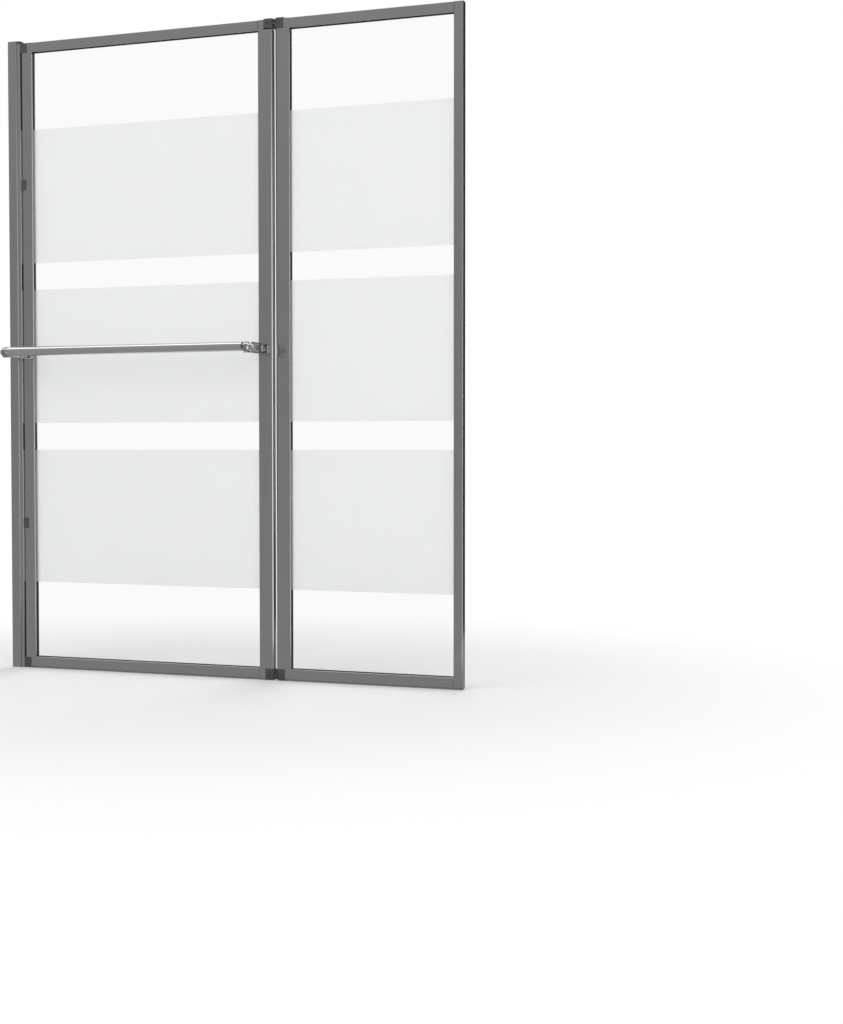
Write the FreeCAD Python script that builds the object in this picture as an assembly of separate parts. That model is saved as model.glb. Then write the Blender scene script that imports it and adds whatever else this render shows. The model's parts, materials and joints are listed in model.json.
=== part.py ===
import FreeCAD, Part
import math
import os

# Folding bath screen: two framed glass panels that hang on a wall post, with a towel rail.
# Sizes are in millimetres. X runs along the screen from the wall profile's back, Y is depth
# with the towel rail at -Y, and Z is up from the screen's foot. Y zero is the middle of the frame.

# Overall sizes
screen_height = 1400.0
end_cap_height = 5.5
rim_gap = 3.8
inner_sight_width = 553.2
outer_sight_width = 362.6

# Frame profiles
frame_depth = 16.0
profile_wall = 1.4
leg_wall = 1.0
profile_round = 1.2
nose_round = 5.0
chamber_round = 0.5
channel_depth = 6.0
channel_width = 6.4
hinge_stile_width = 25.6
centre_stile_width = 33.5
free_stile_width = 20.0
rail_height = 21.5
groove_from_sight = 22.0
groove_width = 0.9
groove_depth = 0.45

# Wall profile and the post that slides in it
wall_profile_reach = 22.0
wall_profile_width = 20.0
wall_profile_wall = 1.6
wall_profile_web = 1.8
wall_profile_round = 1.0
wall_screw_radius = 2.6
wall_screw_spacing = 1150.0
post_reach = 30.3
post_start = 4.0
post_wall = 1.5
adjust_travel = 10.0
adjuster_from_wall = 8.0
adjuster_spacing = 520.0
adjuster_radius = 2.0
adjuster_play = 0.3
adjuster_head_radius = 4.2
adjuster_head_height = 2.4
adjuster_head_gap = 0.2
adjuster_grip = 3.0
cap_lug_length = 12.0
cap_lug_width = 12.0
cap_plug_length = 5.0
cap_pocket = 0.4
strip_width = 13.0
strip_thickness = 0.8
strip_rib_width = 2.0
strip_head_width = 4.0
strip_head_height = 1.2
strip_end_gap = 0.5

# Wall hinge
swing_gap = 4.1
pin_radius = 2.0
port_wall = 1.35
running_clearance = 0.05
fixed_clearance = 0.02
body_clearance = 0.3
block_radius = 9.7
block_height = 21.3
lower_block_drop = 2.0
clip_radius = 8.1
clip_height = 22.6
clip_round = 1.2
lower_clip_z = 326.0
upper_clip_z = 1080.5
web_behind_axis = 1.8
band_clearance = 0.4
tongue_width = 9.0
tongue_height = 10.0
tongue_length = 5.0
tongue_barb = 1.2
pin_reach = 15.0
pin_inset = 1.0

# Centre hinge
fold_gap = 5.6
hinge_cap_back = 12.1
hinge_cap_depth = 20.7
hinge_cap_proud = 2.0
hinge_cap_round = 0.8
shadow_gap = 0.6
top_shadow_gap = 1.8
shadow_gap_inset = 1.4
plug_length = 16.0
plug_from_axis = 4.6
link_thickness = 6.5
link_play = 0.3
link_eye_radius = 7.6
link_slot_radius = 7.95
link_neck_width = 13.0
link_web_width = 4.0
link_web_clearance = 0.4

# Glass, gasket and seal
glass_thickness = 4.0
glass_bite = 4.8
glass_arris = 0.5
gasket_bite = 5.8
gasket_lip = 1.6
gasket_fit = 0.1
gasket_taper = 0.7
seal_gap = 0.4
seal_width = 11.0
seal_base = 1.1
seal_fin = 1.3
seal_fin_inset = 0.8
seal_rib_width = 2.2
seal_head_width = 4.2
seal_head_height = 1.2
seal_end_gap = 0.6

# Corner keys and screws
key_length = 24.0
key_fit = 0.1
key_screw_radius = 1.3
key_screw_head_radius = 2.4
key_screw_head_height = 1.3
key_screw_depth = 5.0
key_screw_from_sight = 3.2
key_screw_share = 0.6

# Towel rail
towel_rail_height = 704.3
towel_rail_stand_off = 90.0
tube_radius = 10.0
tube_wall = 1.0
left_arm_from_sight = 11.4
right_arm_from_sight = 14.8
arm_drop = 1.4
arm_width = 20.0
arm_height = 23.0
arm_round = 3.0
knob_radius = 11.5
tube_seat = 8.1
recess_depth = 3.0
recess_height = 14.8
recess_start = 2.0
recess_length = 62.0
recess_flare = 1.2
ring_height = 11.6
ring_start = 41.0
ring_length = 44.0
ring_wall = 1.6
ring_drop = 0.4
ring_floor_depth = 4.0
arm_screw_radius = 2.0
arm_screw_head_radius = 3.8
arm_screw_head_height = 2.0
arm_screw_depth = 14.0
arm_screw_spacing = 12.0
plug_depth = 15.0
spigot_radius = 6.0
spigot_length = 10.0
end_screw_radius = 2.0
end_screw_depth = 12.0
end_head_radius = 4.4
end_head_height = 5.0
end_head_round = 1.2
end_head_seat = 10.5

# One overrun for every through cut
overrun = 5.0

# Places worked out from the sizes
half_depth = frame_depth / 2
frame_bottom = rim_gap
frame_top = screen_height - end_cap_height
sight_bottom = frame_bottom + rail_height
sight_top = frame_top - rail_height
inner_start = post_reach + swing_gap
inner_sight_left = inner_start + hinge_stile_width
inner_sight_right = inner_sight_left + inner_sight_width
inner_end = inner_sight_right + centre_stile_width
outer_start = inner_end + fold_gap
outer_sight_left = outer_start + centre_stile_width
outer_sight_right = outer_sight_left + outer_sight_width
swing_x = inner_start + half_depth
inner_fold_x = inner_end - half_depth
outer_fold_x = outer_start + half_depth
port_radius = pin_radius + running_clearance
port_outer_radius = port_radius + port_wall
chamber_start = channel_depth + profile_wall
nose_reach = (half_depth - nose_round) * math.sqrt(2) + nose_round
left_arm_x = inner_sight_left - left_arm_from_sight
right_arm_x = inner_sight_right + right_arm_from_sight

UP = FreeCAD.Vector(0, 0, 1)
ALONG_X = FreeCAD.Vector(1, 0, 0)
ALONG_Y = FreeCAD.Vector(0, 1, 0)
ORIGIN = FreeCAD.Vector(0, 0, 0)


# Basic shapes

def plan(x, y):
    return FreeCAD.Vector(x, y, 0)


def box(x_pair, y_pair, z_pair):
    """A block between the two values of each pair, given in either order."""
    low = [min(pair) for pair in (x_pair, y_pair, z_pair)]
    size = [max(pair) - min(pair) for pair in (x_pair, y_pair, z_pair)]
    return Part.makeBox(size[0], size[1], size[2], FreeCAD.Vector(*low))


def rod(radius, start, end):
    """A round bar between two points."""
    line = end.sub(start)
    return Part.makeCylinder(radius, line.Length, start, line)


def upright(radius, x, z_low, z_high):
    """A round bar standing on the frame's middle plane."""
    return rod(radius, FreeCAD.Vector(x, 0, z_low), FreeCAD.Vector(x, 0, z_high))


def countersunk_screw(point, direction, radius, head_radius, head_height, length, grow=0.0):
    """A screw whose head lies flush at a point, and grow makes the hole that fits it."""
    head = Part.makeCone(head_radius + grow, radius + grow, head_height, point, direction)
    shank = Part.makeCylinder(radius + grow, length + grow, point, direction)
    return head.fuse(shank).removeSplitter()


def face_of(place, start, *steps):
    """A flat face. Each step is a point to draw a line to, or a pair of points for an arc."""
    edges = []
    here = start
    for step in steps:
        if isinstance(step[0], tuple):
            through, there = step
            edges.append(Part.Arc(place(*here), place(*through), place(*there)).toShape())
        else:
            there = step
            edges.append(Part.makeLine(place(*here), place(*there)))
        here = there
    if place(*here).distanceToPoint(place(*start)) > Part.Precision.confusion():
        edges.append(Part.makeLine(place(*here), place(*start)))
    return Part.Face(Part.Wire(edges))


def on_circle(centre, radius, degrees):
    angle = math.radians(degrees)
    return (centre[0] + radius * math.cos(angle), centre[1] + radius * math.sin(angle))


def quarter(centre, radius, degrees):
    """The step that turns a right-angled corner, from the given direction on."""
    return (on_circle(centre, radius, degrees + 45), on_circle(centre, radius, degrees + 90))


def rounded_rectangle(place, low, high, radius, end_radius=None):
    """A rectangle with round corners, and other corners at its far end where they are given."""
    far = end_radius or radius
    right, left = high[0] - far, low[0] + radius
    return face_of(
        place,
        (right, low[1]),
        quarter((right, low[1] + far), far, 270),
        (high[0], high[1] - far),
        quarter((right, high[1] - far), far, 0),
        (left, high[1]),
        quarter((left, high[1] - radius), radius, 90),
        (low[0], low[1] + radius),
        quarter((left, low[1] + radius), radius, 180),
    )


def stadium(place, start, end, middle, radius):
    """A slot shape whose end centres are start and end, on the line at middle."""
    return face_of(
        place,
        (end, middle - radius),
        ((end + radius, middle), (end, middle + radius)),
        (start, middle + radius),
        ((start - radius, middle), (start, middle - radius)),
    )


def disc(x, radius):
    return Part.Face(Part.Wire(Part.makeCircle(radius, plan(x, 0))))


def mirrored_y(shape):
    return shape.mirror(ORIGIN, ALONG_Y)


def level_edges(shape):
    """The edges round the top and bottom of an upright solid."""
    return [edge for edge in shape.Edges if edge.BoundBox.ZLength < Part.Precision.confusion()]


# Frame profiles

def frame_section(width, nose=False, port=False, grooves=False):
    """The extrusion's section. X is the distance from the sight edge into the frame."""
    inner_half = half_depth - profile_wall
    channel_half = channel_width / 2
    outer_end = nose_round if nose else profile_round
    chamber_end_round = nose_round - profile_wall if nose else chamber_round
    section = rounded_rectangle(
        plan, (0, -half_depth), (width, half_depth), profile_round, outer_end)
    chamber = rounded_rectangle(
        plan,
        (chamber_start, -inner_half),
        (width - profile_wall, inner_half),
        chamber_round,
        chamber_end_round)
    if port:
        port_x = width - half_depth
        web = rounded_rectangle(
            plan,
            (port_x - profile_wall / 2, -half_depth),
            (port_x + profile_wall / 2, half_depth),
            chamber_round)
        chamber = chamber.cut(disc(port_x, port_outer_radius)).cut(web)
        section = section.cut(disc(port_x, port_radius))
    leg = rounded_rectangle(
        plan,
        (profile_wall, channel_half + leg_wall),
        (channel_depth, inner_half),
        chamber_round)
    channel = Part.makePlane(
        channel_depth + overrun, channel_width, FreeCAD.Vector(-overrun, -channel_half, 0))
    section = section.cut([chamber, leg, mirrored_y(leg), channel])
    if grooves:
        groove = Part.makePlane(
            groove_width,
            groove_depth + overrun,
            FreeCAD.Vector(groove_from_sight - groove_width / 2, half_depth - groove_depth, 0))
        section = section.cut([groove, mirrored_y(groove)])
    return section.Faces[0]


def stile(section, sight_x, side):
    """A full-height profile whose sight edge is at sight_x, on side +1 or -1 of the glass."""
    bar = section.extrude(FreeCAD.Vector(0, 0, frame_top - frame_bottom))
    if side < 0:
        bar.rotate(ORIGIN, UP, 180)
    bar.translate(FreeCAD.Vector(sight_x, 0, frame_bottom))
    return bar


def rail(section, left, right, sight_z, side):
    """A level profile between two stiles, above the glass with side +1 or below it with -1."""
    bar = section.extrude(FreeCAD.Vector(0, 0, right - left))
    bar.rotate(ORIGIN, ALONG_Y, -90 * side)
    bar.translate(FreeCAD.Vector(right if side > 0 else left, 0, sight_z))
    return bar


# One framed pane: rails, glass, gasket, keys, screws and seal

def pane_parts(left, right):
    """The glass and the gasket that wraps its edge."""
    half_glass = glass_thickness / 2
    half_gasket = channel_width / 2 - gasket_fit
    glass = box(
        (left - glass_bite, right + glass_bite),
        (-half_glass, half_glass),
        (sight_bottom - glass_bite, sight_top + glass_bite))
    gasket = box(
        (left - gasket_bite, right + gasket_bite),
        (-half_gasket, half_gasket),
        (sight_bottom - gasket_bite, sight_top + gasket_bite))
    window = box(
        (left + gasket_lip, right - gasket_lip),
        (-half_depth, half_depth),
        (sight_bottom + gasket_lip, sight_top - gasket_lip))
    gasket = gasket.cut(window)
    lips = [
        edge for edge in gasket.Edges
        if abs(abs(edge.CenterOfMass.y) - half_gasket) < gasket_fit
        and left < edge.CenterOfMass.x < right
        and sight_bottom < edge.CenterOfMass.z < sight_top]
    gasket = gasket.makeChamfer(gasket_taper, lips).cut(glass)
    glass = glass.makeChamfer(glass_arris, glass.Edges)
    return glass, gasket


def corner_keys(left, right):
    """A T-shaped key in each corner, with the screws that hold it from the back."""
    keys = []
    screws = []
    rail_low = chamber_start + key_fit
    rail_high = rail_height - profile_wall - key_fit
    in_stile = channel_width / 2 - key_fit
    in_rail = half_depth - profile_wall - key_fit
    for sight_x, outward in ((left, -1), (right, 1)):
        for sight_z, upward in ((sight_bottom, -1), (sight_top, 1)):
            z_pair = (sight_z + upward * rail_low, sight_z + upward * rail_high)
            tongue = box(
                (sight_x, sight_x + outward * (channel_depth - key_fit)),
                (-in_stile, in_stile),
                z_pair)
            bar = box((sight_x, sight_x - outward * key_length), (-in_rail, in_rail), z_pair)
            along = [edge for edge in bar.Edges if edge.BoundBox.XLength > chamber_round]
            bar = bar.makeChamfer(chamber_round, along)
            places = (
                (sight_x + outward * key_screw_from_sight, in_stile),
                (sight_x - outward * key_length * key_screw_share, in_rail))
            corner_screws = [
                key_screw(x, sum(z_pair) / 2, half_depth - face + key_screw_depth)
                for x, face in places]
            holes = [
                key_screw(x, sum(z_pair) / 2, half_depth - face + key_screw_depth, fixed_clearance)
                for x, face in places]
            keys.append(tongue.fuse(bar).removeSplitter().cut(holes))
            screws.extend(corner_screws)
    return keys, screws


def key_screw(x, z, length, grow=0.0):
    """A countersunk screw driven from the back into a corner key."""
    return countersunk_screw(
        FreeCAD.Vector(x, half_depth, z),
        ALONG_Y.negative(),
        key_screw_radius,
        key_screw_head_radius,
        key_screw_head_height,
        length,
        grow)


def key_screw_holes(left, right):
    """Every hole that the corner screws need in the profiles."""
    holes = []
    middle = (chamber_start + rail_height - profile_wall) / 2
    for sight_x, outward in ((left, -1), (right, 1)):
        for z in (sight_bottom - middle, sight_top + middle):
            for x in (
                    sight_x + outward * key_screw_from_sight,
                    sight_x - outward * key_length * key_screw_share):
                holes.append(key_screw(x, z, half_depth, fixed_clearance))
    return holes


def bottom_seal(left, right, rail_left, rail_right):
    """Two wiper fins on a base with a rib that snaps into the bottom rail."""
    half = seal_width / 2
    base_low = frame_bottom - seal_base
    base = box((left, right), (-half, half), (base_low, frame_bottom))
    fins = [
        box(
            (left, right),
            (side * (half - seal_fin_inset), side * (half - seal_fin_inset - seal_fin)),
            (seal_gap, base_low))
        for side in (-1, 1)]
    rib_ends = (
        rail_left + key_length + seal_end_gap,
        rail_right - key_length - seal_end_gap)
    rib = box(
        rib_ends,
        (-seal_rib_width / 2, seal_rib_width / 2),
        (frame_bottom, frame_bottom + profile_wall))
    head = box(
        rib_ends,
        (-seal_head_width / 2, seal_head_width / 2),
        (frame_bottom + profile_wall, frame_bottom + profile_wall + seal_head_height))
    return base.multiFuse([*fins, rib, head]).removeSplitter()


def seal_slot(left, right):
    return box(
        (left - overrun, right + overrun),
        (-seal_rib_width / 2, seal_rib_width / 2),
        (frame_bottom - overrun, frame_bottom + profile_wall))


def framed_pane(prefix, left, right, seal_left, seal_right):
    """The pieces that both panels share, by name."""
    section = frame_section(rail_height)
    holes = key_screw_holes(left, right)
    glass, gasket = pane_parts(left, right)
    keys, screws = corner_keys(left, right)
    top_rail = rail(section, left, right, sight_top, 1)
    bottom_rail = rail(section, left, right, sight_bottom, -1)
    return {
        prefix + "_top_rail": [top_rail.cut(holes)],
        prefix + "_bottom_rail": [bottom_rail.cut([*holes, seal_slot(left, right)])],
        prefix + "_glass": [glass],
        prefix + "_glazing_gasket": [gasket],
        prefix + "_corner_keys": keys,
        prefix + "_corner_screws": screws,
        prefix + "_bottom_seal": [bottom_seal(seal_left, seal_right, left, right)],
    }


# Wall profile, post and their caps

def wall_profile():
    """A U channel that carries the rest, with screw holes through its web."""
    half = wall_profile_width / 2
    outside = rounded_rectangle(
        plan, (0, -half), (wall_profile_reach, half), wall_profile_round)
    inside_half = half - wall_profile_wall
    inside = Part.makePlane(
        wall_profile_reach,
        inside_half * 2,
        FreeCAD.Vector(wall_profile_web, -inside_half, 0))
    channel = outside.cut(inside).Faces[0].extrude(FreeCAD.Vector(0, 0, frame_top))
    cuts = [
        rod(
            wall_screw_radius,
            FreeCAD.Vector(-overrun, 0, z),
            FreeCAD.Vector(wall_profile_web + overrun, 0, z))
        for z in wall_screw_places()]
    slot_radius = adjuster_radius + adjuster_play
    for z in adjuster_places():
        face = stadium(
            lambda x, up: FreeCAD.Vector(x, 0, up),
            adjuster_from_wall,
            adjuster_from_wall + adjust_travel,
            z,
            slot_radius)
        cuts.append(face.extrude(FreeCAD.Vector(0, wall_profile_width, 0)))
    return channel.cut(cuts)


def wall_screw_places():
    middle = frame_top / 2
    return (middle - wall_screw_spacing / 2, middle, middle + wall_screw_spacing / 2)


def adjuster_places():
    middle = frame_top / 2
    return (middle - adjuster_spacing, middle, middle + adjuster_spacing)


def wall_profile_cap():
    """A cover on the wall profile, with a lug that drops in beside the web."""
    half = wall_profile_width / 2
    inside_half = half - wall_profile_wall
    plate = rounded_rectangle(plan, (0, -half), (wall_profile_reach, half), wall_profile_round)
    plate = plate.extrude(FreeCAD.Vector(0, 0, end_cap_height))
    plate.translate(FreeCAD.Vector(0, 0, frame_top))
    plate = plate.makeFillet(cap_pocket, level_edges(plate))
    lug_end = post_start - body_clearance
    pocket = box(
        (lug_end, wall_profile_reach + overrun),
        (-inside_half, inside_half),
        (frame_top - cap_pocket, frame_top + cap_pocket))
    lug = box(
        (wall_profile_web + fixed_clearance, lug_end),
        (-cap_lug_width / 2, cap_lug_width / 2),
        (frame_top - cap_lug_length, frame_top))
    return plate.cut(pocket).fuse(lug).removeSplitter()


def hinge_post():
    """The box section that carries the wall hinge and slides in the wall profile."""
    outside = rounded_rectangle(
        plan, (post_start, -half_depth), (post_reach, half_depth), profile_round)
    inside = rounded_rectangle(
        plan,
        (post_start + post_wall, post_wall - half_depth),
        (post_reach - post_wall, half_depth - post_wall),
        chamber_round)
    post = outside.cut(inside).Faces[0].extrude(FreeCAD.Vector(0, 0, frame_top))
    cuts = [tongue(middle, fixed_clearance) for middle in hinge_middles()]
    for z in adjuster_places():
        cuts.append(adjuster_shank(z, fixed_clearance))
    for low, high in strip_spans():
        cuts.append(box(
            (post_reach - post_wall - overrun, post_reach + overrun),
            (-strip_rib_width / 2, strip_rib_width / 2),
            (low, high)))
    return post.cut(cuts)


def strip_spans():
    """The stretches of the post's end wall between the hinge blocks and clips."""
    below = [bottom_block_span(), clip_span(lower_clip_z), clip_span(upper_clip_z)]
    above = [clip_span(lower_clip_z), clip_span(upper_clip_z), top_block_span()]
    return [
        (lower[1] + strip_end_gap, upper[0] - strip_end_gap)
        for lower, upper in zip(below, above)]


def post_strips():
    """Strips that darken the gap at the hinge, each on a rib that snaps into the post."""
    strips = []
    inside = post_reach - post_wall
    for span in strip_spans():
        strip = box(
            (post_reach, post_reach + strip_thickness),
            (-strip_width / 2, strip_width / 2),
            span)
        rib = box((inside, post_reach), (-strip_rib_width / 2, strip_rib_width / 2), span)
        head = box(
            (inside - strip_head_height, inside),
            (-strip_head_width / 2, strip_head_width / 2),
            span)
        strips.append(strip.multiFuse([rib, head]).removeSplitter())
    return strips


def hinge_post_cap():
    plate = rounded_rectangle(
        plan,
        (wall_profile_reach + body_clearance, -half_depth),
        (post_reach, half_depth),
        profile_round)
    plate = plate.extrude(FreeCAD.Vector(0, 0, end_cap_height))
    plate.translate(FreeCAD.Vector(0, 0, frame_top))
    plate = plate.makeFillet(cap_pocket, level_edges(plate))
    inner_half = half_depth - post_wall - fixed_clearance
    plug = box(
        (wall_profile_reach + post_wall, post_reach - post_wall - fixed_clearance),
        (-inner_half + chamber_round, inner_half - chamber_round),
        (frame_top - cap_plug_length, frame_top))
    return plate.fuse(plug).removeSplitter()


def adjuster_shank(z, grow=0.0):
    outside = wall_profile_width / 2 + adjuster_head_gap
    inside = half_depth - post_wall - adjuster_grip
    return rod(
        adjuster_radius + grow,
        FreeCAD.Vector(adjuster_from_wall, inside, z),
        FreeCAD.Vector(adjuster_from_wall, outside, z))


def adjuster_screws():
    """Pan-head screws through the wall profile's slots into the post."""
    screws = []
    seat = wall_profile_width / 2 + adjuster_head_gap
    for z in adjuster_places():
        head = rod(
            adjuster_head_radius,
            FreeCAD.Vector(adjuster_from_wall, seat, z),
            FreeCAD.Vector(adjuster_from_wall, seat + adjuster_head_height, z))
        rim = [edge for edge in head.Edges if edge.BoundBox.YMin > seat + adjuster_head_gap]
        head = head.makeFillet(adjuster_head_height / 2, rim)
        screws.append(head.fuse(adjuster_shank(z)).removeSplitter())
    return screws


# Wall hinge: blocks, clips and pins on the post, and the notches that they need

def top_block_span():
    return (frame_top - block_height, frame_top)


def bottom_block_span():
    low = frame_bottom - lower_block_drop
    return (low, low + block_height)


def clip_span(middle):
    return (middle - clip_height / 2, middle + clip_height / 2)


def hinge_middles():
    spans = (top_block_span(), bottom_block_span())
    return [sum(span) / 2 for span in spans] + [lower_clip_z, upper_clip_z]


def tongue(middle, grow=0.0):
    """The part of a block or clip that snaps through the post's end wall."""
    half = tongue_width / 2 + grow
    half_height = tongue_height / 2 + grow
    return box(
        (post_reach - post_wall - tongue_length, post_reach),
        (-half, half),
        (middle - half_height, middle + half_height))


def tongue_barbs(middle):
    """Wedges that catch behind the post's end wall."""
    half = tongue_width / 2
    height = tongue_height - tongue_barb
    catch = post_reach - post_wall - fixed_clearance
    tip = catch - tongue_length + tongue_barb
    wedge = face_of(
        plan,
        (catch, half - tongue_barb),
        (catch, half + tongue_barb),
        (tip, half),
        (tip, half - tongue_barb))
    wedge.translate(FreeCAD.Vector(0, 0, middle - height / 2))
    wedge = wedge.extrude(FreeCAD.Vector(0, 0, height))
    return [wedge, mirrored_y(wedge)]


def hinge_knuckle(span, radius, corner):
    """A knuckle round the swing axis, joined to the post and flush with the frame's front."""
    low, high = span
    barrel = upright(radius, swing_x, low, high)
    flats = box((inner_start - overrun, swing_x + radius), (-half_depth, half_depth), span)
    web = box((post_reach, swing_x), (-half_depth, web_behind_axis), span)
    body = barrel.common(flats).fuse(web).removeSplitter()
    far = [
        edge for edge in body.Edges
        if edge.BoundBox.XMax > swing_x + web_behind_axis and edge.BoundBox.ZLength < corner]
    body = body.makeFillet(corner, far)
    bore = upright(pin_radius + fixed_clearance, swing_x, low - overrun, high + overrun)
    middle = (low + high) / 2
    return body.multiFuse([tongue(middle), *tongue_barbs(middle)]).removeSplitter().cut(bore)


def hinge_notch(span, radius):
    """What the hinge stile gives up so that a knuckle can turn in it."""
    low, high = span
    barrel = upright(radius + body_clearance, swing_x, low, high)
    side = box((inner_start - overrun, swing_x), (-half_depth - overrun, half_depth + overrun), span)
    return barrel.fuse(side)


def wall_hinge_pins():
    top_low, top_high = top_block_span()
    bottom_low, bottom_high = bottom_block_span()
    pins = [
        upright(pin_radius, swing_x, top_low - pin_reach, top_high - pin_inset),
        upright(pin_radius, swing_x, bottom_low + pin_inset, bottom_high + pin_reach)]
    for middle in (lower_clip_z, upper_clip_z):
        low, high = clip_span(middle)
        pins.append(upright(pin_radius, swing_x, low - pin_reach, high + pin_reach))
    return pins


def hinge_stile(arm_holes):
    """The inner panel's stile at the post, notched for the blocks and clips."""
    bar = stile(frame_section(hinge_stile_width, port=True), inner_sight_left, -1)
    top_low = top_block_span()[0] - band_clearance
    bottom_high = bottom_block_span()[1] + band_clearance
    cuts = [
        hinge_notch((top_low, frame_top + overrun), block_radius),
        hinge_notch((frame_bottom - overrun, bottom_high), block_radius)]
    for middle in (lower_clip_z, upper_clip_z):
        low, high = clip_span(middle)
        cuts.append(hinge_notch((low - band_clearance, high + band_clearance), clip_radius))
    holes = key_screw_holes(inner_sight_left, inner_sight_right)
    return bar.cut([*cuts, *holes, *arm_holes])


# Centre hinge: caps on both panels, links between them, and pins

def top_cap_span():
    return (frame_top - hinge_cap_depth, frame_top + hinge_cap_proud)


def bottom_cap_span():
    return (frame_bottom - hinge_cap_proud, frame_bottom + hinge_cap_depth)


def cap_block(fold_x, toward, span, inset=0.0):
    """A hinge cap's outline in plan: a block with the stile's nose."""
    low, high = span
    half = half_depth - inset
    block = rounded_rectangle(
        plan, (inset, -half), (hinge_cap_back + half, half), hinge_cap_round, nose_round - inset)
    block = block.extrude(FreeCAD.Vector(0, 0, high - low))
    if toward < 0:
        block.rotate(ORIGIN, UP, 180)
    block.translate(FreeCAD.Vector(fold_x - toward * hinge_cap_back, 0, low))
    return block


def hinge_cap(fold_x, toward, span, plug_down, gap=shadow_gap):
    """A moulded cap in a stile's end: a fork for the link and a plug into the profile.

    It seats on the stile by a smaller neck, so that a shadow gap shows between the two.
    """
    low, high = span
    middle = (low + high) / 2
    if plug_down:
        body = cap_block(fold_x, toward, (low + gap, high))
        neck = cap_block(fold_x, toward, (low, low + gap), shadow_gap_inset)
    else:
        body = cap_block(fold_x, toward, (low, high - gap))
        neck = cap_block(fold_x, toward, (high - gap, high), shadow_gap_inset)
    reach = half_depth - profile_wall - key_fit - chamber_round
    plug_start = low if plug_down else high
    plug_end = low - plug_length if plug_down else high + plug_length
    plug = box(
        (fold_x - toward * (hinge_cap_back - hinge_cap_round), fold_x - toward * plug_from_axis),
        (-reach, reach),
        (plug_start, plug_end))
    half_slot = link_thickness / 2 + link_play
    slot_span = (middle - half_slot, middle + half_slot)
    slot = upright(link_slot_radius, fold_x, *slot_span)
    mouth = box(
        (fold_x - toward * (link_neck_width / 2 + link_play), fold_x + toward * frame_depth),
        (-half_depth - overrun, half_depth + overrun),
        slot_span)
    bore = upright(pin_radius + fixed_clearance, fold_x, low - overrun, high + overrun)
    return body.multiFuse([neck, plug]).removeSplitter().cut([slot, mouth, bore])


def cap_notch(fold_x, toward, span):
    return box(
        (fold_x - toward * hinge_cap_back, fold_x + toward * frame_depth),
        (-half_depth - overrun, half_depth + overrun),
        span)


def centre_stile(sight_x, toward, holes, grooves):
    """A stile with a rounded nose, cut back at both ends for its hinge caps."""
    section = frame_section(centre_stile_width, nose=True, port=True, grooves=grooves)
    bar = stile(section, sight_x, toward)
    fold_x = sight_x + toward * (centre_stile_width - half_depth)
    top_low = top_cap_span()[0]
    bottom_high = bottom_cap_span()[1]
    cuts = [
        cap_notch(fold_x, toward, (top_low, frame_top + overrun)),
        cap_notch(fold_x, toward, (frame_bottom - overrun, bottom_high))]
    return bar.cut([*cuts, *holes])


def hinge_link(span):
    """Two eyes and a neck, with a waisted web that fills the gap between the two noses."""
    low, high = span
    middle = (low + high) / 2
    eye_span = (middle - link_thickness / 2, middle + link_thickness / 2)
    eyes = [upright(link_eye_radius, x, *eye_span) for x in (inner_fold_x, outer_fold_x)]
    neck = box(
        (inner_fold_x, outer_fold_x), (-link_neck_width / 2, link_neck_width / 2), eye_span)
    web_span = (low + link_play, high - link_play)
    web = box(
        (inner_fold_x, outer_fold_x), (-link_web_width / 2, link_web_width / 2), web_span)
    waist = [
        upright(nose_reach + link_web_clearance, x, low, high)
        for x in (inner_fold_x, outer_fold_x)]
    link = eyes[0].multiFuse([eyes[1], neck, web.cut(waist)]).removeSplitter()
    bores = [
        upright(pin_radius + running_clearance, x, low, high)
        for x in (inner_fold_x, outer_fold_x)]
    return link.cut(bores)


def centre_pins(fold_x):
    top_low, top_high = top_cap_span()
    bottom_low, bottom_high = bottom_cap_span()
    return [
        upright(pin_radius, fold_x, top_low - pin_reach, top_high - pin_inset),
        upright(pin_radius, fold_x, bottom_low + pin_inset, bottom_high + pin_reach)]


# Towel rail

def rail_axis_y():
    return -half_depth - towel_rail_stand_off


def side_view(x):
    """A drawing plane seen from the side: distance from the frame's front face, and height."""
    centre = towel_rail_height - arm_drop
    return lambda out, up: FreeCAD.Vector(x, -half_depth - out, centre + up)


def arm_slot(x, start, length, height):
    """A slot shape on an arm's side, from a distance in front of the frame."""
    radius = height / 2
    return stadium(side_view(x), start + length - radius, start + radius, 0, radius)


def flare(face_x, side):
    """The sloped mouth of a dish, cut wider at the arm's side than inside."""
    inside = arm_slot(face_x - side * recess_flare, recess_start, recess_length, recess_height)
    outside = arm_slot(
        face_x,
        recess_start - recess_flare,
        recess_length + 2 * recess_flare,
        recess_height + 2 * recess_flare)
    return Part.makeLoft([inside.OuterWire, outside.OuterWire], True, True)


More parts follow.
